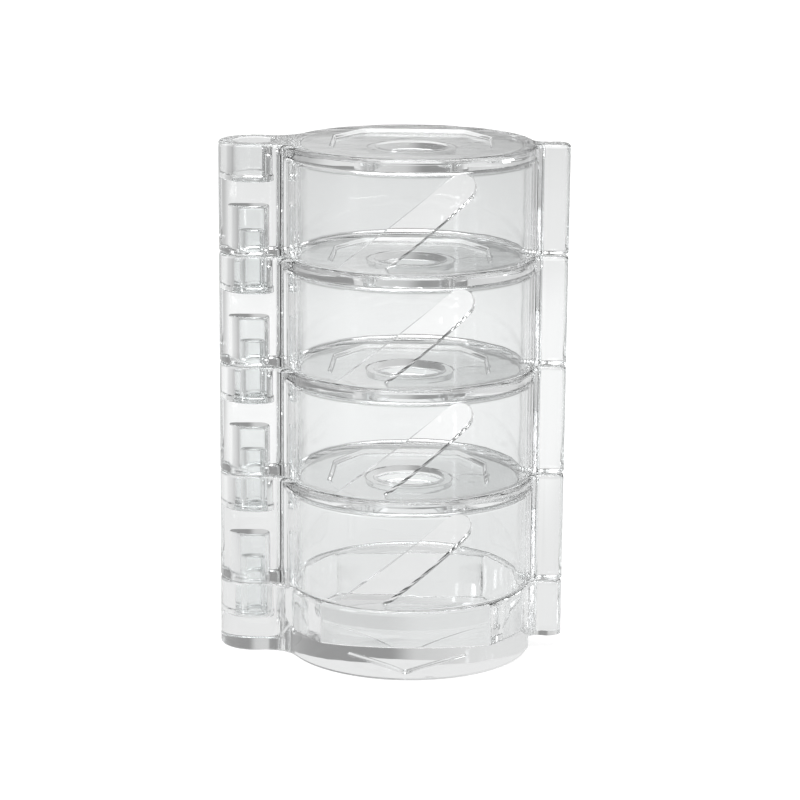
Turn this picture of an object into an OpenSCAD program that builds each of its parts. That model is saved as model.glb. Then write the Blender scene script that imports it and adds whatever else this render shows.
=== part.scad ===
// Swivel storage tower for sewing thread and bobbins.
// Four clear moulded tiers stand on a shallow base. Each tier turns on a split snap pin
// that is pressed into its own knuckle and plugs into the knuckle of the piece below.
// Millimetres. The pivot axis is Z, with the table at z = 0. The round bodies stand at +X,
// the finger posts beyond them, and the slots face -Y.

/* [Round body] */
// Outer radius of the round body
body_r = 30; // [28:0.5:36]
// Thickness of the round wall
wall_t = 2.2; // [1.6:0.1:2.6]
// Thickness of the plate that closes each tier at its top
plate_t = 3.2; // [3:0.1:4.5]
// Height of one tier, from the plate below to its own plate's top
tier_h = 27; // [25:0.5:34]
// Height of the base
base_h = 17; // [15:0.5:24]
// Gap between one tier's lower edge and the piece below
tier_gap = 0.3; // [0.2:0.05:0.6]

/* [Knuckle and post] */
// Radius of the knuckle that holds the pivot
knuckle_r = 8.7; // [7.5:0.1:10]
// How far the pivot axis stands outside the round body
knuckle_out = 7.5; // [6.8:0.1:10]
// Radius of the hollow blend between the knuckle and the body
knuckle_blend_r = 8; // [5:0.5:12]
// Radius of the finger post
post_r = 3.3; // [2.5:0.1:4.5]
// How far the post's axis stands outside the round body
post_out = 4.6; // [4:0.1:5]
// Radius of the hollow blend between the post and the body
post_blend_r = 3; // [2:0.25:5]
// Height at which the base's own post starts above the table
post_lift = 3.2; // [1.5:0.1:6]
// Bevel on the ends of the knuckle
knuckle_bevel = 0.7; // [0.3:0.1:1.2]
// Bevel on the ends of the post
post_bevel = 1; // [0.4:0.1:1.4]

/* [Pivot] */
// Radius of the open socket in the top of each knuckle
socket_r = 5.15; // [4.5:0.05:5.6]
// Depth of the socket
socket_depth = 9.4; // [7.5:0.1:11]
// Radial running clearance of the pin in the socket
pin_clear = 0.08; // [0.04:0.01:0.1]
// How much wider than the socket the snap groove at its floor is
groove_over = 0.4; // [0.35:0.05:0.6]
// Height of the snap groove
groove_h = 1.6; // [1.5:0.1:2.2]
// How much wider than the socket the pin's snap bead is
bead_over = 0.25; // [0.15:0.05:0.3]
// Radius of the hole that the pin's shank is pressed into
shank_r = 4; // [3.2:0.1:4.4]
// Depth of that hole
shank_depth = 11.5; // [8:0.5:12]
// Radius of the hollow inside the pin
pin_bore_r = 2.4; // [1.5:0.1:2.8]
// Length of that hollow, from the pin's lower end
pin_bore_h = 15; // [10:0.5:16]
// Width of the slit that lets the pin's legs spring
slit_w = 1.2; // [0.8:0.1:2]
// Height of the slit above the pin's lower end
slit_h = 7; // [5:0.5:9]

/* [Slot in the wall] */
// Width of the slanting slot
slot_w = 6.8; // [5:0.2:8]
// Slope of the slot above the horizontal, in degrees
slot_slope = 40; // [32:1:48]
// Sideways place of the round end's centre
slot_end_x = 12; // [8:0.2:13]
// Material between the plate and the top of the slot
slot_top_margin = 0.4; // [0.4:0.1:2]

/* [Plate] */
// Width of the eight-sided pocket in the plate
pocket_w = 38; // [32:0.5:40]
// Front-to-back length of the pocket
pocket_d = 42; // [36:0.5:44]
// Length of the pocket's cut corners along its width
pocket_cut_x = 6.7; // [4:0.1:9]
// Length of the pocket's cut corners along its depth
pocket_cut_y = 11.5; // [8:0.5:13]
// Depth of the pocket
pocket_depth = 1; // [0.6:0.1:1.6]
// Radius of the hole through the plate
hole_r = 8.6; // [6:0.1:9]
// Outer radius of the short tube under the hole
ring_r = 10.6; // [10:0.1:13]
// Length of that tube below the plate
ring_h = 1.6; // [0.5:0.1:3]
// Radius of the ejector mark under the plate
ejector_r = 4.2; // [2:0.1:4.5]
// How far the ejector mark stands beside the hole's centre
ejector_x = 15.6; // [14:0.1:18]
// Depth of the ejector mark
ejector_depth = 0.3; // [0.2:0.05:0.5]

/* [Base] */
// Width of the eight-sided well in the base
well_w = 53; // [46:0.5:53]
// Front-to-back length of the well
well_d = 40; // [34:0.5:40]
// Length of the well's cut corners along its width
well_cut_x = 7; // [6:0.5:10]
// Length of the well's cut corners along its depth
well_cut_y = 12; // [8:0.5:14]
// Thickness of the floor under the well
floor_t = 6; // [4:0.25:7]
// Width of the diamond sunk in the underside
diamond_w = 18; // [10:1:24]
// Front-to-back length of the diamond
diamond_d = 40; // [24:1:46]
// Depth of the diamond
diamond_depth = 0.6; // [0.4:0.1:1.2]

/* [Hidden] */
$fn = 96;
cut = 1;                        // how far a cutting shape runs past the face it cuts
edge = 0.5;                     // lead-in bevel on the pin's ends
bite = 0.005;                   // how deep the hollow blends cut into the round shapes they touch
bay_r = body_r - wall_t;
body_x = body_r + knuckle_out;  // from the pivot to the middle of the round body
post_x = body_r + post_out;     // from there to the post
ceiling_z = tier_h - plate_t;   // underside of the plate, above the tier's own foot
slot_end_z = ceiling_z - slot_top_margin - slot_w / 2;
slot_run = (slot_end_z + slot_w) / sin(slot_slope);
journal_r = socket_r - pin_clear;
collar_r = knuckle_r - knuckle_bevel - 0.2;

// Foot of tier n, counted from 1 at the bottom: the top of the piece below it
function foot_z(n) = base_h + (n - 1) * tier_h;

// Centre of the circle that blends the body into a round boss: it touches both from outside
function blend_centre(boss_x, boss_r, blend_r) =
    let (to_body = body_r + blend_r - bite,
         to_boss = boss_r + blend_r - bite,
         x = (to_body * to_body - to_boss * to_boss + boss_x * boss_x) / (2 * boss_x))
    [x, sqrt(to_body * to_body - x * x)];

// A round boss out along X, with the web that joins it to the body
module boss_outline(boss_x, boss_r, blend_r) {
    c = blend_centre(boss_x, boss_r, blend_r);
    translate([boss_x, 0]) circle(boss_r);
    difference() {
        polygon([[0, 0], [c[0], -c[1]], [boss_x, 0], c]);
        for (side = [1, -1])
            translate([c[0], side * c[1]]) circle(blend_r);
    }
}

// The outline that every piece of the stack shares
module outline() {
    translate([body_x, 0]) {
        circle(body_r);
        mirror([1, 0]) boss_outline(body_x, knuckle_r, knuckle_blend_r);
        boss_outline(post_x, post_r, post_blend_r);
    }
}

// A rectangle with its four corners cut off
module cut_corner_plan(w, d, cut_x, cut_y) {
    right = w / 2;
    back = d / 2;
    polygon([[right, back - cut_y], [right - cut_x, back],
             [cut_x - right, back], [-right, back - cut_y],
             [-right, cut_y - back], [cut_x - right, -back],
             [right - cut_x, -back], [right, cut_y - back]]);
}

// Ring that bevels the half of a round boss that faces +X, at the top face z = 0 of its piece
module bevel_ring(boss_r, bevel) {
    intersection() {
        rotate_extrude()
            polygon([[boss_r - bevel, 0], [boss_r - bevel, cut],
                     [boss_r + cut, cut], [boss_r + cut, -bevel - cut]]);
        translate([0, -2 * boss_r, -2 * boss_r])
            cube([2 * boss_r, 4 * boss_r, 4 * boss_r]);
    }
}

// Bevels on the knuckle and the post at a piece's top face and bottom face
module end_bevels(bottom_z, post_bottom_z, top_z) {
    for (end = [[top_z, top_z, 0], [bottom_z, post_bottom_z, 1]]) {
        translate([0, 0, end[0]]) mirror([0, 0, end[2]])
            mirror([1, 0, 0]) bevel_ring(knuckle_r, knuckle_bevel);
        translate([body_x + post_x, 0, end[1]]) mirror([0, 0, end[2]])
            bevel_ring(post_r, post_bevel);
    }
}

// Room for the pin of the tier above, open at z = 0 and going down
module socket() {
    translate([0, 0, -socket_depth]) {
        cylinder(r = socket_r, h = socket_depth + cut);
        cylinder(r = socket_r + groove_over, h = groove_h);
    }
}

// The slot as the slide of the mould cuts it, from the front and straight along Y
module slot() {
    translate([body_x + slot_end_x, 0, slot_end_z])
        rotate([90, 0, 0]) {
            cylinder(r = slot_w / 2, h = body_r + cut);
            rotate([0, 0, slot_slope])
                translate([-slot_run, -slot_w / 2, 0])
                    cube([slot_run, slot_w, body_r + cut]);
        }
}

// The plate's pocket, hole and ejector mark
module plate_cuts() {
    translate([0, 0, tier_h - pocket_depth])
        linear_extrude(pocket_depth + cut)
            cut_corner_plan(pocket_w, pocket_d, pocket_cut_x, pocket_cut_y);
    translate([0, 0, ceiling_z - ring_h - cut]) cylinder(r = hole_r, h = ring_h + plate_t + 2 * cut);
    translate([ejector_x, 0, ceiling_z - cut]) cylinder(r = ejector_r, h = ejector_depth + cut);
}

// Room inside a tier, with the short tube left hanging round the hole
module bay() {
    difference() {
        translate([0, 0, -cut]) cylinder(r = bay_r, h = ceiling_z + cut);
        translate([0, 0, ceiling_z - ring_h]) cylinder(r = ring_r, h = ring_h + cut);
    }
}

// One tier, standing on z = 0: plate at the top, wall hanging from it, open below
module tier() {
    difference() {
        translate([0, 0, tier_gap])
            linear_extrude(tier_h - tier_gap) outline();
        translate([body_x, 0, 0]) {
            bay();
            plate_cuts();
        }
        translate([0, 0, tier_h]) socket();
        translate([0, 0, tier_gap - cut]) cylinder(r = shank_r, h = shank_depth + cut);
        slot();
        end_bevels(tier_gap, tier_gap, tier_h);
    }
}

// Split snap pin: the shank above is pressed into the tier, the thin collar carries the tier on
// the knuckle below, and the journal under it turns in the socket
module pivot_pin() {
    top_z = tier_gap + shank_depth - edge;
    end_z = tier_gap - socket_depth;
    bead_r = socket_r + bead_over;
    difference() {
        rotate_extrude()
            polygon([[0, end_z], [journal_r - edge, end_z],
                     [bead_r, end_z + edge], [bead_r, end_z + 2 * edge],
                     [journal_r, groove_h - socket_depth], [journal_r, 0],
                     [collar_r, 0], [collar_r, tier_gap],
                     [shank_r, tier_gap], [shank_r, top_z - edge],
                     [shank_r - edge, top_z], [0, top_z]]);
        translate([0, 0, end_z - cut]) cylinder(r = pin_bore_r, h = pin_bore_h + cut);
        translate([-socket_r - cut, -slit_w / 2, end_z - cut])
            cube([2 * (socket_r + cut), slit_w, slit_h + cut]);
    }
}

// Room under the base's post, which starts above the table
module under_post() {
    translate([body_x, 0, -cut])
        linear_extrude(post_lift + cut)
            difference() {
                translate([0, -2 * post_r - post_blend_r])
                    square([post_x + 2 * post_r, 4 * post_r + 2 * post_blend_r]);
                circle(body_r - bite);
            }
}

module base() {
    color([0.93, 0.95, 0.96, 0.35])
        difference() {
            linear_extrude(base_h) outline();
            translate([body_x, 0, floor_t])
                linear_extrude(base_h) cut_corner_plan(well_w, well_d, well_cut_x, well_cut_y);
            translate([0, 0, base_h]) socket();
            translate([body_x, 0, -cut])
                linear_extrude(diamond_depth + cut)
                    polygon([[0, -diamond_d / 2], [diamond_w / 2, 0],
                             [0, diamond_d / 2], [-diamond_w / 2, 0]]);
            under_post();
            end_bevels(0, post_lift, base_h);
        }
}

module placed_tier(n) {
    color([0.90, 0.92, 0.94, 0.35]) translate([0, 0, foot_z(n)]) tier();
}

module placed_pin(n) {
    color([0.86, 0.90, 0.92, 0.45]) translate([0, 0, foot_z(n)]) pivot_pin();
}

base();
placed_tier(1);  // tier_1
placed_tier(2);  // tier_2
placed_tier(3);  // tier_3
placed_tier(4);  // tier_4
placed_pin(1);  // pivot_pin_1
placed_pin(2);  // pivot_pin_2
placed_pin(3);  // pivot_pin_3
placed_pin(4);  // pivot_pin_4
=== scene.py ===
# %% [markdown]
# # A clear swivel tower for bobbins and thread
# The real object is four clear moulded tiers on a shallow base. Each tier turns on a split snap pin
# in the column of knuckles at the left. Everything is one kind of clear plastic, so the look comes
# from three things: smooth curved walls, softly rounded edges that bend the light, and the white
# studio that is seen through them. The first cell loads the frame with the bodies and joints.

# %% Load the frame
import math

import bmesh
import bpy
from mathutils import Matrix, Quaternion, Vector


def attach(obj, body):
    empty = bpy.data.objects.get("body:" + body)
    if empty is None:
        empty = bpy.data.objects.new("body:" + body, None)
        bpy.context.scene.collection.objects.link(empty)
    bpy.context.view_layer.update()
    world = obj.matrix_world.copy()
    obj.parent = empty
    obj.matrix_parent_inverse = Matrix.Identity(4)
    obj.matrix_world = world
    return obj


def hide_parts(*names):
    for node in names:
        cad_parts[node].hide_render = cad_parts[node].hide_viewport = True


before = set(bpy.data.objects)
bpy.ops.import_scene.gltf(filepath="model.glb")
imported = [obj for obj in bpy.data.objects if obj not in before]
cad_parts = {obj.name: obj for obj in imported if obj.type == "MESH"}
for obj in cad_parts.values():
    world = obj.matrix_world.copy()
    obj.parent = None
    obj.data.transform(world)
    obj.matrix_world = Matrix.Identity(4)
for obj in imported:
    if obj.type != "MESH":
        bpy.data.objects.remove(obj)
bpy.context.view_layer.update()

# %% [markdown]
# ## Sizes
# The tower's sizes in millimetres, the same as in its construction file. The pivot axis is Z,
# the round bodies stand at +X and the slots face -Y. Lengths are turned to metres only when a
# mesh is made, so each number can be read as on a drawing. The sizes here are those that
# several pieces share, and the others stand beside the piece that needs them.

# %% Sizes of the stack
MM = 0.001
TIERS = 4
TIER_H, BASE_H, GAP = 27.0, 17.0, 0.3
BODY_R, WALL_T, PLATE_T = 30.0, 2.2, 3.2
KNUCKLE_R, KNUCKLE_BLEND = 8.7, 8.0
POST_R, POST_BLEND = 3.3, 3.0
KNUCKLE_OUT, POST_OUT = 7.5, 4.6
BODY_X = BODY_R + KNUCKLE_OUT
POST_X = BODY_R + POST_OUT
CEILING = TIER_H - PLATE_T
SOCKET_R, SOCKET_DEPTH = 5.15, 9.4
SHANK_R, SHANK_DEPTH = 4.0, 11.5
print("a tier is", TIER_H, "mm tall, the tower", BASE_H + TIERS * TIER_H, "mm")

# %% [markdown]
# ## The shared outline
# Every piece of the stack has the same plan: a large circle, a knuckle on one side and a finger
# post on the other, joined by hollow blends. It is written as a chain of arcs, because an arc
# that is drawn inwards by a small amount keeps its centre. Two such outlines then have the
# same number of points, and a wall between them makes a perfectly even rounded edge. The
# body's edges are the roundest, and the knuckle's are tighter, as on the real moulding.

# %% One arc of the outline
EDGE_BODY, EDGE_POST, EDGE_KNUCKLE = 1.2, 1.0, 0.8


def blend_centre(boss_x, boss_r, blend_r):
    """Centre of the hollow blend between the body and a boss, seen from the body's centre."""
    to_body, to_boss = BODY_R + blend_r, boss_r + blend_r
    x = (to_body ** 2 - to_boss ** 2 + boss_x ** 2) / (2 * boss_x)
    return x, math.sqrt(to_body ** 2 - x ** 2)


def arc(cx, cy, r, start, end, steps, hollow, edge):
    """Points of an arc: centre, radius, place, whether it is hollow, and its edge rounding."""
    rows = []
    for i in range(steps):
        a = start + (end - start) * i / steps
        rows.append((cx, cy, r, a, hollow, edge[0] + (edge[1] - edge[0]) * i / steps))
    return rows


print("edge roundings in mm:", EDGE_BODY, EDGE_POST, EDGE_KNUCKLE)

# %% [markdown]
# The arcs run from the post round the back half to the knuckle. The front half is the same
# chain mirrored, so the two halves can't drift apart.

# %% The whole outline


def outline_rows():
    """The whole outline, counter-clockwise from the post."""
    bx, by = blend_centre(POST_X, POST_R, POST_BLEND)
    kx, ky = blend_centre(BODY_X, KNUCKLE_R, KNUCKLE_BLEND)
    post_end = math.atan2(by, bx - POST_X)
    body_start, body_end = math.atan2(by, bx), math.pi - math.atan2(ky, kx)
    knuckle_start = math.atan2(ky, BODY_X - kx)
    rows = arc(POST_X, 0, POST_R, 0, post_end, 16, False, (EDGE_POST, EDGE_POST))
    rows += arc(bx, by, POST_BLEND, post_end - math.pi, body_start - math.pi, 14, True,
                (EDGE_POST, EDGE_BODY))
    rows += arc(0, 0, BODY_R, body_start, body_end, 84, False, (EDGE_BODY, EDGE_BODY))
    rows += arc(-kx, ky, KNUCKLE_BLEND, body_end - math.pi, knuckle_start - math.pi, 20, True,
                (EDGE_BODY, EDGE_KNUCKLE))
    rows += arc(-BODY_X, 0, KNUCKLE_R, knuckle_start, math.pi, 28, False,
                (EDGE_KNUCKLE, EDGE_KNUCKLE))
    mirrored = [(cx, -cy, r, -a, hollow, edge) for cx, cy, r, a, hollow, edge in rows[1:][::-1]]
    return rows + [(-BODY_X, 0, KNUCKLE_R, math.pi, False, EDGE_KNUCKLE)] + mirrored


OUTLINE = outline_rows()


def outline_ring(share):
    """The outline drawn inwards by a share of each point's own edge rounding."""
    ring = []
    for cx, cy, r, a, hollow, edge in OUTLINE:
        rr = r + share * edge if hollow else r - share * edge
        ring.append((BODY_X + cx + rr * math.cos(a), cy + rr * math.sin(a)))
    return ring


print("outline of", len(OUTLINE), "points")

# %% [markdown]
# ## Mesh helpers
# Most shapes here are either a stack of outlines or a profile turned about an axis. Both are
# rings of points with walls between them, so one function closes a list of rings into a solid.
# Its faces can carry a second material number, which later marks what one cutter has cut.

# %% Solids from rings


def object_from(bm, name):
    """A new object in the scene from a bmesh, which is then freed."""
    mesh = bpy.data.meshes.new(name)
    bm.to_mesh(mesh)
    bm.free()
    obj = bpy.data.objects.new(name, mesh)
    bpy.context.scene.collection.objects.link(obj)
    return obj


def solid_from_rings(name, rings, slot=0):
    """A closed mesh from rings of equal length, lowest ring first, with flat ends."""
    bm = bmesh.new()
    loops = [[bm.verts.new((x * MM, y * MM, z * MM)) for x, y, z in ring] for ring in rings]
    n = len(loops[0])
    for low, high in zip(loops, loops[1:]):
        for i in range(n):
            j = (i + 1) % n
            bm.faces.new((low[i], low[j], high[j], high[i]))
    bm.faces.new(loops[0][::-1])
    bm.faces.new(loops[-1])
    for face in bm.faces:
        face.material_index = slot
    bmesh.ops.recalc_face_normals(bm, faces=bm.faces)
    return object_from(bm, name)


print("new solids go into", bpy.context.scene.collection.name)

# %% [markdown]
# A tier or the base starts as a prism on the shared outline. Its top edge has the full
# rounding and its foot a smaller one. Both roundings are quarter circles, so one short list
# says how far a ring lies from the edge at each step of the way.

# %% Prism on the outline
FOOT_SHARE = 0.6


def quarter(steps):
    """A quarter circle of radius 1 as distances from its two tangents, falling and rising."""
    angles = [math.pi / 2 * i / steps for i in range(steps + 1)]
    return [(1 - math.sin(a), 1 - math.cos(a)) for a in angles]


def outline_prism(name, bottom, top):
    """A prism on the outline with rounded ends, the lower one by a share of the upper one."""
    rings = []
    for inwards, up in quarter(5):
        rings.append([(x, y, bottom + FOOT_SHARE * row[5] * up)
                      for (x, y), row in zip(outline_ring(FOOT_SHARE * inwards), OUTLINE)])
    for down, inwards in quarter(5):
        rings.append([(x, y, top - row[5] * down)
                      for (x, y), row in zip(outline_ring(inwards), OUTLINE)])
    return solid_from_rings(name, rings)


print("foot rounding in mm:", round(FOOT_SHARE * EDGE_BODY, 2))

# %% [markdown]
# Holes, bays and pins are round, so they are turned: a profile of radius and height goes once
# round a vertical axis, as on a lathe. Each corner of a profile is a short arc, because a
# sharp inner corner would show as a hard black line in clear plastic.

# %% Turned solids


def turned(name, profile, centre=(0, 0), steps=96):
    """A profile of (radius, height) turned about a vertical axis, from its foot to its top."""
    bm = bmesh.new()
    loops = []
    for r, z in profile:
        if r < 1e-6:
            loops.append([bm.verts.new((centre[0] * MM, centre[1] * MM, z * MM))])
            continue
        loops.append([bm.verts.new(((centre[0] + r * math.cos(2 * math.pi * i / steps)) * MM,
                                    (centre[1] + r * math.sin(2 * math.pi * i / steps)) * MM,
                                    z * MM)) for i in range(steps)])
    for low, high in zip(loops, loops[1:]):
        for i in range(steps):
            j = (i + 1) % steps
            if len(low) == 1:
                bm.faces.new((low[0], high[j], high[i]))
            elif len(high) == 1:
                bm.faces.new((low[i], low[j], high[0]))
            else:
                bm.faces.new((low[i], low[j], high[j], high[i]))
    bmesh.ops.recalc_face_normals(bm, faces=bm.faces)
    return object_from(bm, name)


def corner(r, z, radius, start, end, steps=4):
    """A rounded corner of a profile: an arc about (r, z), angles in degrees."""
    return [(r + radius * math.cos(math.radians(start + (end - start) * i / steps)),
             z + radius * math.sin(math.radians(start + (end - start) * i / steps)))
            for i in range(steps + 1)]


print("a rounded corner takes", len(corner(1, 1, 1, 0, 90)), "points")

# %% [markdown]
# The pocket and the well have eight straight sides, and the diamond has four. Each plan is a
# short list of corners, and this function rounds them and can draw the plan larger or smaller,
# which gives the leaning walls and the soft rims.

# %% Plans with round corners


def rounded_polygon(points, radius, grow, steps=4):
    """A polygon, counter-clockwise and without hollow corners, rounded and drawn out by grow."""
    out = []
    n = len(points)
    for i in range(n):
        p, here, q = (Vector(points[(i + k) % n]) for k in (-1, 0, 1))
        u, v = (p - here).normalized(), (q - here).normalized()
        half = u.angle(v) / 2
        middle = here + (u + v).normalized() * (radius / math.sin(half))
        first = math.atan2(*(here + u * radius / math.tan(half) - middle).yx)
        for k in range(steps + 1):
            a = first + (math.pi - 2 * half) * k / steps
            out.append(tuple(middle + Vector((math.cos(a), math.sin(a))) * (radius + grow)))
    return out


def cut_corner_plan(w, d, cut_x, cut_y):
    """The eight corners of a rectangle with its corners cut off, about the body's axis."""
    x, y = w / 2, d / 2
    corners = [(x, y - cut_y), (x - cut_x, y), (cut_x - x, y), (-x, y - cut_y),
               (-x, cut_y - y), (cut_x - x, -y), (x - cut_x, -y), (x, cut_y - y)]
    return [(BODY_X + px, py) for px, py in corners]


def eight_sided_core(name, plan, floor, rim, radius, draft, lip, fillet):
    """A pocket with eight walls: fillet at its floor, leaning walls and a rounded rim."""
    rings = []

    def level(grow, z):
        """Adds a ring at the height z, with the plan drawn out by grow."""
        rings.append([(x, y, z) for x, y in rounded_polygon(plan, radius, grow)])

    for inwards, up in quarter(4):
        level(-draft - fillet * inwards, floor + fillet * up)
    for down, outwards in quarter(4):
        level(lip * outwards, rim - lip * down)
    level(lip, rim + 2)
    return solid_from_rings(name, rings)


print("a rounded plan has", len(rounded_polygon(cut_corner_plan(4, 4, 1, 1), 0.5, 0)), "points")

# %% [markdown]
# A Boolean modifier takes one shape out of another, as the cores and slides of a mould keep
# room in the plastic. The exact solver is slower than the fast one, but it copes with faces
# that nearly touch. The result is stored at once as plain mesh, and the cutter is removed.

# %% Cutting


def cut_away(obj, *cutters):
    """Takes the cutters out of obj and removes them."""
    for cutter in cutters:
        step = obj.modifiers.new("cut", "BOOLEAN")
        step.operation, step.solver, step.object = "DIFFERENCE", "EXACT", cutter
        step.material_mode = "INDEX"
        graph = bpy.context.evaluated_depsgraph_get()
        mesh = bpy.data.meshes.new_from_object(obj.evaluated_get(graph), depsgraph=graph)
        obj.modifiers.clear()
        old, obj.data = obj.data, mesh
        bpy.data.meshes.remove(old)
        bpy.data.objects.remove(cutter)


print("cutters leave plain mesh")

# %% [markdown]
# ## The inside of a tier
# A mould makes the inside of a tier with a round core, and so does this script: the bay, the
# hole in the plate and the short tube round it are one profile turned about the body's axis.
# Its corners carry the small radii that a real core has, and the widest one is where the
# plate meets the wall, because it gives the soft grey band under each plate.

# %% Bay, hole and tube as one turned core
HOLE_R, TUBE_R, TUBE_H = 8.6, 10.6, 1.6


def bay_core(foot):
    """The core that leaves the wall, the plate and the tube round the hole."""
    r, lip, fillet, small = BODY_R - WALL_T, 0.4, 1.5, 0.25
    ceiling, top, z0 = foot + CEILING, foot + TIER_H, foot + GAP
    profile = [(0, z0 - 2), (r + lip, z0 - 2)]
    profile += corner(r + lip, z0 + lip, lip, 270, 180)
    profile += corner(r - fillet, ceiling - fillet, fillet, 0, 90, 6)
    profile += corner(TUBE_R + 0.3, ceiling - 0.3, 0.3, 90, 180)
    profile += corner(TUBE_R - small, ceiling - TUBE_H + small, small, 0, -90)
    profile += corner(HOLE_R + small, ceiling - TUBE_H + small, small, 270, 180)
    profile += corner(HOLE_R + lip, top - lip, lip, 180, 90)
    profile += [(HOLE_R + lip, top + 2), (0, top + 2)]
    return turned("bay_core", profile, (BODY_X, 0), 160)


print("hole", 2 * HOLE_R, "mm across, tube", 2 * TUBE_R, "mm outside")

# %% [markdown]
# ## The holes of a knuckle
# Each knuckle has a socket in its upper face, where the pin of the next tier snaps in, and a
# blind hole in its lower face for the shank of its own pin. The snap groove lies just above
# the socket's floor. Both holes are turned about the pivot axis.

# %% Socket and blind hole
GROOVE = 0.4


def socket_core(top):
    """The room for the pin of the tier above, with its snap groove and a rounded mouth."""
    floor, groove, small, lip = top - SOCKET_DEPTH, SOCKET_R + GROOVE, 0.3, 0.35
    profile = [(0, floor)] + corner(groove - small, floor + small, small, -90, 0)
    profile += [(groove, floor + 1.35), (SOCKET_R + 0.1, floor + 1.6), (SOCKET_R, floor + 1.75)]
    profile += corner(SOCKET_R + lip, top - lip, lip, 180, 90)
    profile += [(SOCKET_R + lip, top + 2), (0, top + 2)]
    return turned("socket_core", profile, (0, 0), 80)


def shank_core(foot):
    """The blind hole in a knuckle's lower face that the pin's shank is pressed into."""
    mouth, top, chamfer, fillet = foot + GAP, foot + GAP + SHANK_DEPTH, 0.2, 0.5
    profile = [(0, foot - 1), (SHANK_R + chamfer, foot - 1), (SHANK_R + chamfer, mouth),
               (SHANK_R, mouth + chamfer)]
    profile += corner(SHANK_R - fillet, top - fillet, fillet, 0, 90) + [(0, top)]
    return turned("shank_core", profile, (0, 0), 72)


print("socket", 2 * SOCKET_R, "mm across, blind hole", 2 * SHANK_R, "mm")

# %% [markdown]
# ## Pocket and ejector mark
# A shallow pocket is sunk in the top of each plate, and an ejector has left a faint round mark
# under it, beside the hole. The pocket could be drawn by hand as a curve, but its eight
# corners follow from four sizes.

# %% Pocket and ejector mark
# width, depth, and how far each corner is cut off along x and along y
POCKET = (38, 42, 6.7, 11.5)
POCKET_DEPTH = 1.0
EJECTOR_R, EJECTOR_X = 4.2, 15.6


def pocket_core(top):
    """The pocket in the top of a plate."""
    return eight_sided_core("pocket_core", cut_corner_plan(*POCKET), top - POCKET_DEPTH, top,
                            radius=1.5, draft=0.35, lip=0.3, fillet=0.35)


def ejector_core(foot):
    """The faint round mark of the ejector under a plate, with a worn edge."""
    z, edge = foot + CEILING, EJECTOR_R - 0.2
    profile = [(0, z - 1), (EJECTOR_R, z - 1), (EJECTOR_R, z + 0.12), (edge, z + 0.3), (0, z + 0.3)]
    return turned("ejector_core", profile, (BODY_X + EJECTOR_X, 0), 48)


print("pocket", POCKET[0], "by", POCKET[1], "mm")

# %% [markdown]
# ## The slot
# A slanting slot lets a thread out of the closed bay. The mould cuts it with a slide that
# moves straight in from the front, so it is one flat outline drawn through the curved wall. It
# ends round near the plate and runs out through the wall's foot, which leaves a pointed
# tongue. The slide is a little narrower inside than outside, as any slide must be, and that
# lean is why the slot's faces show as a second line beside its opening.

# %% Outline of the slot
SLOT_W, SLOT_DRAFT, SLOT_SLOPE = 7.2, 0.5, 40
# the middle of the round end, which stops 0.2 mm under the plate
SLOT_END = (12.0, CEILING - 0.2 - SLOT_W / 2)
TONGUE_R, BLUNT_R = 0.7, 0.8


def slot_outline(foot, width):
    """The slanting slot: a round upper end, and rounded corners where it opens at the foot."""
    r, slope = width / 2, math.radians(SLOT_SLOPE)
    ex, ez, z0 = SLOT_END[0] + BODY_X, SLOT_END[1] + foot, foot + GAP
    across = Vector((math.sin(slope), -math.cos(slope)))

    def meets_foot(side):
        """Where the slot's lower side (1) or upper side (-1) runs out through the foot."""
        p = Vector((ex, ez)) + across * r * side
        return p.x - (p.y - z0) / math.tan(slope)

    tongue = meets_foot(1) + TONGUE_R / math.tan(slope / 2)
    blunt = meets_foot(-1) - BLUNT_R * math.tan(slope / 2)
    points = [(tongue, z0 - 2)]
    points += corner(tongue, z0 + TONGUE_R, TONGUE_R, 270, 90 + SLOT_SLOPE, 12)
    points += corner(ex, ez, r, SLOT_SLOPE - 90, SLOT_SLOPE + 90, 48)
    points += corner(blunt, z0 + BLUNT_R, BLUNT_R, SLOT_SLOPE - 90, -90)
    return points + [(blunt, z0 - 2)]


print("slot", SLOT_W, "mm wide outside and", SLOT_W - 2 * SLOT_DRAFT, "mm inside")

# %% [markdown]
# The slide has four rings: a flat one in front of the wall, two that follow the wall's outer
# and inner surface, and a flat one inside the bay. The two middle rings lie a little past the
# wall, so that the cut never ends exactly on a surface.

# %% Slide of the slot
SLIDE_FROM, SLIDE_TO, PAST = -BODY_R - 4, -15, 0.14


def slot_slide(foot):
    """The slide, whose depth runs from 0 on the wall's outer face to 1 on its inner face."""
    rings = []
    for depth, flat_y in ((-PAST, SLIDE_FROM), (-PAST, None), (1 + PAST, None),
                          (1 + PAST, SLIDE_TO)):
        radius = BODY_R - depth * WALL_T
        outline = slot_outline(foot, SLOT_W - 2 * SLOT_DRAFT * depth)
        rings.append([(x, flat_y or -math.sqrt(radius ** 2 - (x - BODY_X) ** 2), z)
                      for x, z in outline])
    return solid_from_rings("slot_slide", rings, slot=1)


print("slide from y =", SLIDE_FROM, "to", SLIDE_TO, "mm")

# %% [markdown]
# ## Softening the cut edges
# The slide leaves crisp edges round the slot. The mould's polish breaks them a little, so a
# narrow bevel goes on just those edges. A Bevel modifier with an angle limit would soften
# every other crisp edge as well, so a test picks the edges one by one.

# %% Bevel on chosen edges


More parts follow.
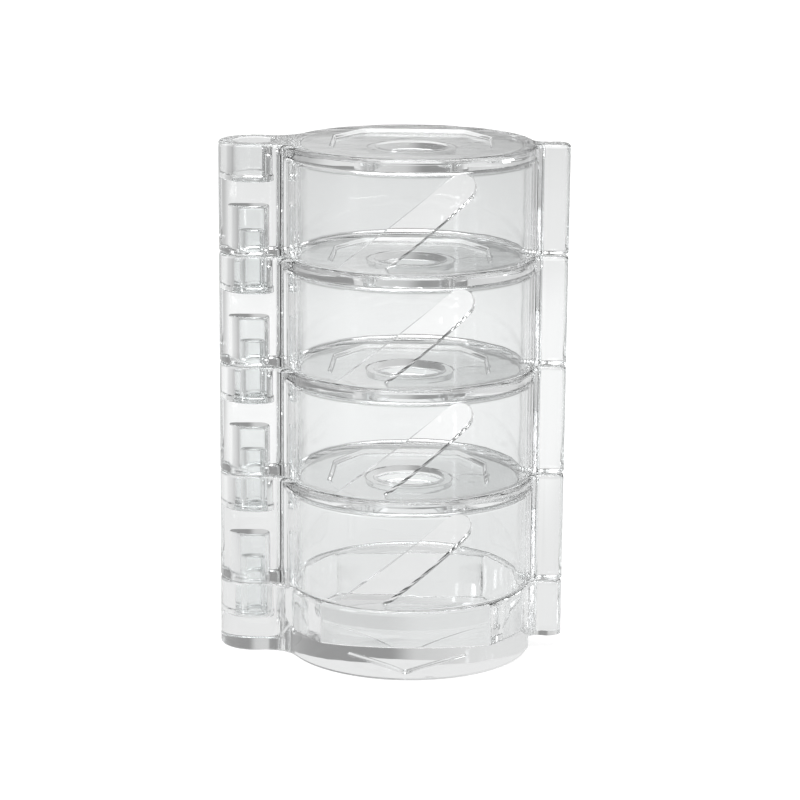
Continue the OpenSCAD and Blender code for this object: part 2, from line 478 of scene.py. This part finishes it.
def soften(obj, chosen, width, segments):
    """Bevels the edges that the test chooses, and gives every face one material again."""
    bm = bmesh.new()
    bm.from_mesh(obj.data)
    bmesh.ops.remove_doubles(bm, verts=bm.verts, dist=1e-7)
    edges = [e for e in bm.edges if len(e.link_faces) == 2 and chosen(e)]
    bmesh.ops.bevel(bm, geom=edges, offset=width * MM, segments=segments, profile=0.5,
                    affect="EDGES", clamp_overlap=True, material=0)
    for face in bm.faces:
        face.material_index = 0
    bm.to_mesh(obj.data)
    bm.free()
    return len(edges)


def cut_by_slide(edge):
    """Whether an edge lies between a face that the slide cut and one that it didn't."""
    return ({f.material_index for f in edge.link_faces} == {0, 1}
            and edge.calc_face_angle(0) > math.radians(25))


print("chosen edges can be softened")

# %% [markdown]
# Normals are weighted by face area, so the broad flat faces stay optically flat and only the
# roundings bend the light. In an opaque piece this would hardly show. In a clear one it
# decides whether the background seen through a plate is calm or wavy.

# %% Smooth shading


def smooth(obj):
    """Smooth shading with normals weighted by area, and a hard break only at real corners."""
    obj.data.polygons.foreach_set("use_smooth", [True] * len(obj.data.polygons))
    obj.data.set_sharp_from_angle(angle=math.radians(38))
    weigh = obj.modifiers.new("weighted_normals", "WEIGHTED_NORMAL")
    weigh.keep_sharp = True
    weigh.weight = 80
    weigh.thresh = 0.01
    graph = bpy.context.evaluated_depsgraph_get()
    mesh = bpy.data.meshes.new_from_object(obj.evaluated_get(graph), depsgraph=graph)
    obj.modifiers.clear()
    old, obj.data = obj.data, mesh
    bpy.data.meshes.remove(old)


print("pieces can be shaded smooth")

# %% [markdown]
# ## Colours and nodes
# Colours are written as on a screen, in sRGB, and Blender computes in linear light, so one
# function turns them to linear. Another adds a node with its settings and links in one line, which
# keeps each material short enough to read as a recipe.

# %% Colour and node helpers


def from_hex(text):
    """An sRGB hex colour as linear red, green, blue and alpha."""
    parts = [int(text[i:i + 2], 16) / 255 for i in (1, 3, 5)]
    return tuple(c / 12.92 if c <= 0.04045 else ((c + 0.055) / 1.055) ** 2.4 for c in parts) + (1,)


def add_node(tree, kind, settings=None, links=None, **values):
    """One node: settings are its own properties, values its sockets, links what feeds them."""
    node = tree.nodes.new(kind)
    for key, value in (settings or {}).items():
        setattr(node, key, value)
    for key, value in values.items():
        node.inputs[key.replace("_", " ")].default_value = value
    for key, source in (links or {}).items():
        tree.links.new(source, node.inputs[key])
    return node


def new_material(name):
    """An empty node material, and its tree."""
    material = bpy.data.materials.new(name)
    material.use_nodes = True
    material.node_tree.nodes.clear()
    return material, material.node_tree


print("mid grey in linear light:", round(from_hex("#808080")[0], 3))

# %% [markdown]
# ## The clear plastic
# Crystal polystyrene, injection moulded and left with the mould's polish. It bends light more
# than window glass does, at an index of 1.59, so its edges show strong bright and dark lines.
# A faint coolness gathers where the light passes many walls, so its colour is a trace cooler
# than white. The surface is not optically flat: the melt leaves long shallow waves a few
# millimetres apart, which make reflections swim a little. Those waves are a very weak bump.

# %% Crystal polystyrene
WAVE_MM = 9.0


def crystal_polystyrene():
    """The clear plastic, with its waves as a bump that is far too weak to see as relief."""
    material, tree = new_material("crystal_polystyrene_moulded")
    place = add_node(tree, "ShaderNodeTexCoord")
    waves = add_node(tree, "ShaderNodeTexNoise", links={"Vector": place.outputs["Object"]},
                     Scale=1 / (WAVE_MM * MM), Detail=1.5, Roughness=0.4)
    bump = add_node(tree, "ShaderNodeBump", links={"Height": waves.outputs["Fac"]},
                    Strength=0.12, Distance=0.0004)
    shader = add_node(tree, "ShaderNodeBsdfPrincipled", links={"Normal": bump.outputs["Normal"]},
                      Base_Color=from_hex("#FCFDFD"), Roughness=0.015, IOR=1.59)
    shader.inputs["Transmission Weight"].default_value = 1.0
    add_node(tree, "ShaderNodeOutputMaterial", links={"Surface": shader.outputs["BSDF"]})
    return material


CLEAR = crystal_polystyrene()
print("material", CLEAR.name)

# %% [markdown]
# ## The tiers
# Each tier is the outline prism with its cores taken out. The slot's edges are softened last,
# because the bevel needs the finished cut.

# %% Build one tier


def make_tier(foot):
    """A tier that stands on the height foot, with the gap that its pin's collar leaves."""
    tier = outline_prism("tier", foot + GAP, foot + TIER_H)
    cut_away(tier, bay_core(foot), pocket_core(foot + TIER_H), socket_core(foot + TIER_H),
             shank_core(foot), ejector_core(foot), slot_slide(foot))
    softened = soften(tier, cut_by_slide, 0.22, 2)
    smooth(tier)
    print("tier:", len(tier.data.polygons), "faces,", softened, "edges softened")
    return tier


first_tier = make_tier(BASE_H)

# %% [markdown]
# All four tiers are the same moulding, so the first is copied upwards. Linked copies would
# save memory, but every finished piece keeps its place in its own mesh. Each piece then gets
# the plastic, the body that it moves with and the name of the plain node that it stands for.

# %% Copy it upwards


def stacked(first):
    """The first piece and its copies, one tier height apart."""
    pieces = [first]
    for n in range(1, TIERS):
        copy = bpy.data.objects.new(first.name, first.data.copy())
        copy.data.transform(Matrix.Translation((0, 0, n * TIER_H * MM)))
        bpy.context.scene.collection.objects.link(copy)
        pieces.append(copy)
    return pieces


def finish_piece(obj, node, body):
    """Gives a piece its name, its plastic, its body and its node."""
    obj.name = obj.data.name = node + "_clear"
    obj.data.materials.clear()
    obj.data.materials.append(CLEAR)
    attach(obj, body)
    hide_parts(node)


for n, obj in enumerate(stacked(first_tier), 1):
    finish_piece(obj, "tier_%d" % n, "swing_tier_%d" % n)
    print(obj.name, "rides on swing_tier_%d" % n)

# %% [markdown]
# ## The base
# The same outline again, 17 mm tall. Its well is eight-sided like the pockets, and a shallow
# diamond is sunk in the underside, where it shows through the clear floor.

# %% Well and diamond
WELL, WELL_FLOOR = (53, 40, 7, 12), 6.0
HALF_X, HALF_Y = 9, 20


def well_core():
    """The well in the base."""
    return eight_sided_core("well_core", cut_corner_plan(*WELL), WELL_FLOOR, BASE_H,
                            radius=0.8, draft=0.0, lip=0.35, fillet=0.6)


def diamond_core():
    """The diamond in the underside, with a soft rim and a flat roof."""
    plan = [(BODY_X, -HALF_Y), (BODY_X + HALF_X, 0), (BODY_X, HALF_Y), (BODY_X - HALF_X, 0)]
    rings = []
    for grow, z in ((0.25, -1), (0.25, 0.0), (0.1, 0.15), (0.0, 0.45), (-0.2, 0.6)):
        rings.append([(x, y, z) for x, y in rounded_polygon(plan, 0.6, grow)])
    return solid_from_rings("diamond_core", rings)


print("well", WELL[0], "by", WELL[1], "mm, diamond", 2 * HALF_X, "by", 2 * HALF_Y, "mm")

# %% [markdown]
# The base's own finger post starts a little above the table, so that a fingertip can lift it.
# The room below it follows the round body from blend to blend, and the post's new lower rim
# is rounded as well.

# %% Lift the post and build the base
POST_LIFT = 3.2


def under_post_core():
    """The room below the finger post."""
    bx, by = blend_centre(POST_X, POST_R, POST_BLEND)
    end = math.atan2(by, bx) - math.radians(0.3)
    r, past = BODY_R - 0.02, 15
    inner = [(BODY_X + r * math.cos(a), r * math.sin(a))
             for a in [end * (1 - i / 8) for i in range(17)]]
    plan = inner + [(BODY_X + BODY_R + past, -past), (BODY_X + BODY_R + past, past)]
    return solid_from_rings("under_post_core", [[(x, y, z) for x, y in plan]
                                                for z in (-1, POST_LIFT)])


def under_the_post(edge):
    """Whether an edge belongs to the lower rim of the lifted post."""
    level, clear = POST_LIFT * MM, (BODY_R + 0.3) * MM
    return (all(abs(v.co.z - level) < 1e-6 for v in edge.verts)
            and all(math.hypot(v.co.x - BODY_X * MM, v.co.y) > clear for v in edge.verts)
            and edge.calc_face_angle(0) > math.radians(40))


def make_base():
    """The base, from the table up."""
    base = outline_prism("base", 0, BASE_H)
    cut_away(base, well_core(), socket_core(BASE_H), diamond_core(), under_post_core())
    softened = soften(base, under_the_post, 0.8, 3)
    smooth(base)
    print("base:", len(base.data.polygons), "faces,", softened, "edges under the post")
    return base


finish_piece(make_base(), "base", "stand")

# %% [markdown]
# ## The pivot pins
# A split pin: the shank above sits in its own tier, and the two legs below spring into the
# socket of the piece underneath, where a bead catches in the groove. A thin collar between the
# two carries the tier. A hair of air stays round the pin, as in the real joint, and that thin
# gap is what makes it show inside clear plastic.

# %% Outside of a pin
LEG_R, BEAD_R = SOCKET_R - 0.08, SOCKET_R + 0.25
PIN_SHANK_R, COLLAR_R = SHANK_R - 0.04, KNUCKLE_R - 0.9


def pin_profile(foot, end, top):
    """From the tips of the legs at the height end to the top of the shank."""
    # the tips, the bead and the straight legs
    profile = [(0, end)] + corner(LEG_R - 0.7, end + 0.2, 0.2, -90, -45, 2)
    profile += [(BEAD_R - 0.1, end + 0.45), (BEAD_R, end + 0.6), (BEAD_R, end + 0.9),
                (BEAD_R - 0.1, end + 1.05), (LEG_R, end + 1.6)]
    # the collar, a hair thinner than the gap that it fills
    low, high, soft = foot + 0.02, foot + GAP - 0.02, 0.05
    profile += [(LEG_R, low), (COLLAR_R - soft, low), (COLLAR_R, low + soft),
                (COLLAR_R, high - soft), (COLLAR_R - soft, high), (PIN_SHANK_R, high)]
    # the shank with its rounded top
    return profile + corner(PIN_SHANK_R - 0.5, top - 0.5, 0.5, 0, 90) + [(0, top)]


print("legs, bead and collar in mm:", [round(2 * r, 2) for r in (LEG_R, BEAD_R, COLLAR_R)])

# %% [markdown]
# The pin is hollow for most of its length, so that its wall is as even as a moulding needs. A
# slit across its lower end parts the two legs and stops about 2 mm below the collar.

# %% Build one pin and copy it
PIN_BORE_R, PIN_BORE_H = 2.4, 15
SLIT_HALF, SLIT_H = 0.6, 7


def make_pin(foot):
    """The pin of the tier that stands on the height foot."""
    end, top = foot - SOCKET_DEPTH + GAP, foot + GAP + SHANK_DEPTH - 0.5
    pin = turned("pin", pin_profile(foot, end, top), (0, 0), 72)
    mouth, hollow_top = PIN_BORE_R + 0.2, end + PIN_BORE_H
    hollow = [(0, end - 1), (mouth, end - 1), (mouth, end), (PIN_BORE_R, end + 0.2)]
    hollow += corner(PIN_BORE_R - 0.6, hollow_top - 0.6, 0.6, 0, 90) + [(0, hollow_top)]
    slit = [[(x, y * SLIT_HALF, z) for x, y in ((-8, -1), (8, -1), (8, 1), (-8, 1))]
            for z in (end - 1, end + SLIT_H)]
    cut_away(pin, turned("hollow", hollow, (0, 0), 48), solid_from_rings("slit", slit))
    smooth(pin)
    return pin


for n, obj in enumerate(stacked(make_pin(BASE_H)), 1):
    finish_piece(obj, "pivot_pin_%d" % n, "swing_tier_%d" % n)
    print(obj.name, "rides on swing_tier_%d" % n)

# %% [markdown]
# ## Studio
# The photograph is a cut-out on pure white. Clear plastic has hardly any colour of its own: it
# shows what stands round it, bent by every edge. In a room that is white on all sides it would
# all but vanish, so photographers leave the sides of the room darker than the sweep behind the
# object. Here those levels are soft curves of grey, by distance and by compass.

# %% Grey levels as soft curves


def ramp(tree, source, stops):
    """A soft curve of grey levels along a value: pairs of value and level."""
    low, high = stops[0][0], stops[-1][0]
    spread = add_node(tree, "ShaderNodeMapRange", links={"Value": source})
    spread.inputs["From Min"].default_value = low
    spread.inputs["From Max"].default_value = high
    curve = add_node(tree, "ShaderNodeValToRGB", links={"Fac": spread.outputs["Result"]})
    curve.color_ramp.interpolation = "EASE"
    points = curve.color_ramp.elements
    while len(points) < len(stops):
        points.new(0.5)
    for point, (value, level) in zip(points, stops):
        point.position = (value - low) / (high - low)
        point.color = (level, level, level, 1)
    return curve.outputs["Color"]


def round_the_room(tree, place, stops):
    """Grey levels by compass: 0 and 1 at the left, 0.25 front, 0.5 right, 0.75 behind."""
    compass = add_node(tree, "ShaderNodeTexGradient", {"gradient_type": "RADIAL"},
                       {"Vector": place})
    return ramp(tree, compass.outputs["Fac"], stops)


print("compass: 0 left, 0.25 front, 0.5 right, 0.75 behind")

# %% [markdown]
# ## Floor
# The floor is white to the camera and keeps a faint shadow. Rays that pass through the plastic or
# glance off it see a pool of light painted on the same floor as a glow: white behind the tower,
# painted as if a sweep caught the light there, and greyer at the sides, in front and far away. That
# difference draws the tower's edges. Right under the tower the floor is painted an even near-white,
# a little darker, as painted shade for the tower's own shadow.

# %% What the plastic sees on the floor


def painted_pool_of_light(tree, place):
    """The floor's painted pool of light: a glow by distance from the tower, times a glow by compass
    further out.
    """
    away = add_node(tree, "ShaderNodeVectorMath", {"operation": "LENGTH"}, {0: place})
    # painted light and shade by distance: painted shade right under the tower, brightest behind it,
    # greyer far away
    pool = ramp(tree, away.outputs["Value"],
                ((0.0, 0.90), (0.1, 0.90), (0.2, 1.0), (0.38, 1.0), (0.55, 0.88), (1.1, 0.74),
                 (2.5, 0.60)))
    sides = round_the_room(tree, place,
                           ((0.0, 0.50), (0.12, 0.72), (0.25, 0.54), (0.40, 0.38), (0.52, 0.38),
                            (0.62, 0.60), (0.68, 1.0), (0.82, 1.0), (0.9, 0.72), (1.0, 0.50)))
    outer = add_node(tree, "ShaderNodeMapRange", {"interpolation_type": "SMOOTHSTEP"},
                     {"Value": away.outputs["Value"]})
    outer.inputs["From Min"].default_value = 0.06
    outer.inputs["From Max"].default_value = 0.24
    evened = add_node(tree, "ShaderNodeMix", {"data_type": "RGBA"},
                      {0: outer.outputs["Result"], 7: sides})
    evened.inputs[6].default_value = (0.92, 0.92, 0.92, 1)
    level = add_node(tree, "ShaderNodeVectorMath", {"operation": "MULTIPLY"},
                     {0: pool, 1: evened.outputs[2]})
    return add_node(tree, "ShaderNodeEmission", links={"Color": level.outputs["Vector"]},
                    Strength=1.0)


print("the floor can be seen in the plastic")

# %% [markdown]
# Three looks of the floor are mixed by Light Path. For the camera, a grey that catches the shadow
# and a glow add up to white. For the plastic, it is the painted pool of light and shade. For all
# other rays, it is a plain white floor that lights the tower from below.

# %% Build the floor


def studio_floor():
    """A wide square floor under the tower, white to the camera."""
    bm = bmesh.new()
    bmesh.ops.create_grid(bm, x_segments=1, y_segments=1, size=4.0)
    floor = object_from(bm, "studio_floor")
    # a hair under the base, so that the two faces never coincide
    floor.location = (BODY_X * MM, 0, -0.05 * MM)
    material, tree = new_material("white_studio_floor")
    place = add_node(tree, "ShaderNodeTexCoord")
    # the plastic sees a glow painted on the floor: a painted pool of light, with painted shade
    # under the tower
    inside = painted_pool_of_light(tree, place.outputs["Object"])
    matt = add_node(tree, "ShaderNodeBsdfDiffuse", Color=from_hex("#B0B0B0"))
    glow = add_node(tree, "ShaderNodeEmission", Color=(1, 1, 1, 1), Strength=0.86)
    both = add_node(tree, "ShaderNodeAddShader", links={0: matt.outputs[0], 1: glow.outputs[0]})
    plain = add_node(tree, "ShaderNodeBsdfDiffuse", Color=from_hex("#F4F4F4"))
    path = add_node(tree, "ShaderNodeLightPath")
    clear = add_node(tree, "ShaderNodeMath", {"operation": "MAXIMUM"},
                     {0: path.outputs["Is Glossy Ray"], 1: path.outputs["Is Transmission Ray"]})
    direct = add_node(tree, "ShaderNodeMixShader", links={0: path.outputs["Is Camera Ray"],
                                                          1: plain.outputs[0], 2: both.outputs[0]})
    shown = add_node(tree, "ShaderNodeMixShader", links={0: clear.outputs[0],
                                                         1: direct.outputs[0],
                                                         2: inside.outputs[0]})
    add_node(tree, "ShaderNodeOutputMaterial", links={"Surface": shown.outputs[0]})
    floor.data.materials.append(material)
    print("floor around x =", round(floor.location.x * 1000, 1), "mm")


studio_floor()

# %% [markdown]
# ## Room
# Above the floor the camera again sees white. The plastic sees the room in grey levels by
# compass: light at the left, where the window-like softbox stands, darker in front, and
# darkest at the right and behind it, which gives the top plate its fall-off from left to right.

# %% World


def studio_world():
    """White to the camera, and the grey room to all other rays."""
    world = bpy.data.worlds.new("studio")
    bpy.context.scene.world = world
    world.use_nodes = True
    tree = world.node_tree
    tree.nodes.clear()
    place = add_node(tree, "ShaderNodeTexCoord")
    level = round_the_room(tree, place.outputs["Generated"],
                           ((0.0, 0.70), (0.10, 0.85), (0.25, 0.44), (0.42, 0.30), (0.55, 0.36),
                            (0.66, 0.28), (0.735, 0.28), (0.764, 0.62), (0.86, 0.75), (1.0, 0.70)))
    room = add_node(tree, "ShaderNodeBackground", links={"Color": level}, Strength=1.0)
    white = add_node(tree, "ShaderNodeBackground", Color=(1, 1, 1, 1), Strength=1.0)
    path = add_node(tree, "ShaderNodeLightPath")
    mix = add_node(tree, "ShaderNodeMixShader", links={0: path.outputs["Is Camera Ray"],
                                                       1: room.outputs[0], 2: white.outputs[0]})
    add_node(tree, "ShaderNodeOutputWorld", links={"Surface": mix.outputs[0]})
    print("world", world.name, "with", len(tree.nodes), "nodes")


studio_world()

# %% [markdown]
# ## Softboxes
# One large softbox hangs overhead and gives the pale highlights along the upper roundings. A
# tall one at the left draws the long bright lines down the knuckles and the walls.

# %% Two softboxes


def softbox(name, place, aim, size, power, tint="#FFFFFF"):
    """A rectangular light with its place, aim and size in metres and its power in watts."""
    data = bpy.data.lights.new(name, "AREA")
    data.shape = "RECTANGLE"
    data.size, data.size_y = size
    data.energy = power
    data.color = from_hex(tint)[:3]
    lamp = bpy.data.objects.new(name, data)
    bpy.context.scene.collection.objects.link(lamp)
    lamp.location = place
    lamp.rotation_mode = "QUATERNION"
    lamp.rotation_quaternion = (Vector(aim) - Vector(place)).to_track_quat("-Z", "Y")
    print(name, power, "W")


softbox("overhead_softbox", (0.04, -0.05, 0.95), (0.04, 0, 0), (0.9, 0.7), 8.0)
softbox("left_softbox", (-0.9, -0.6, 0.5), (0.04, 0, 0.06), (0.35, 0.8), 2.5, "#FBFCFF")

# %% [markdown]
# ## Camera
# The photograph was taken with a long lens from almost straight in front, about 13 degrees
# above the table. Distance, lens and aim were fitted to the tower's outline. A rotation is
# simplest as a quaternion: the camera first looks along its line, then rolls about it.

# %% The photograph's view


def photograph_camera():
    """The camera in metres, with its lens given as a focal length in the picture's pixels."""
    azimuth, elevation, roll = math.radians(1.35), math.radians(13.38), math.radians(0.48)
    distance, focal_px, picture_px = 0.700, 2878.0, 800
    aim = Vector((BODY_X - 2.3, 0.0, 61.6)) * MM
    back = Vector((math.sin(azimuth) * math.cos(elevation),
                   -math.cos(azimuth) * math.cos(elevation), math.sin(elevation)))
    data = bpy.data.cameras.new("photograph_view")
    data.sensor_width = 36.0
    data.lens = focal_px / picture_px * data.sensor_width
    camera = bpy.data.objects.new("photograph_view", data)
    bpy.context.scene.collection.objects.link(camera)
    camera.rotation_mode = "QUATERNION"
    camera.location = aim + back * distance
    camera.rotation_quaternion = (-back).to_track_quat("-Z", "Y")
    camera.rotation_quaternion.rotate(Quaternion(back, roll))
    data.clip_start, data.clip_end = 0.05, 20
    bpy.context.scene.camera = camera
    print("lens", round(data.lens, 1), "mm at", distance, "m")


photograph_camera()

# %% [markdown]
# ## Render settings
# The Standard view shows a colour as it is written. A ray through the middle of the tower
# meets many surfaces one after another, so the light paths have to be long, or dark patches
# appear inside the stack.

# %% View and light paths
scene = bpy.context.scene
scene.view_settings.view_transform = "Standard"
scene.cycles.max_bounces = 32
scene.cycles.transmission_bounces = 32
scene.cycles.glossy_bounces = 16
print("up to", scene.cycles.transmission_bounces, "surfaces per ray")
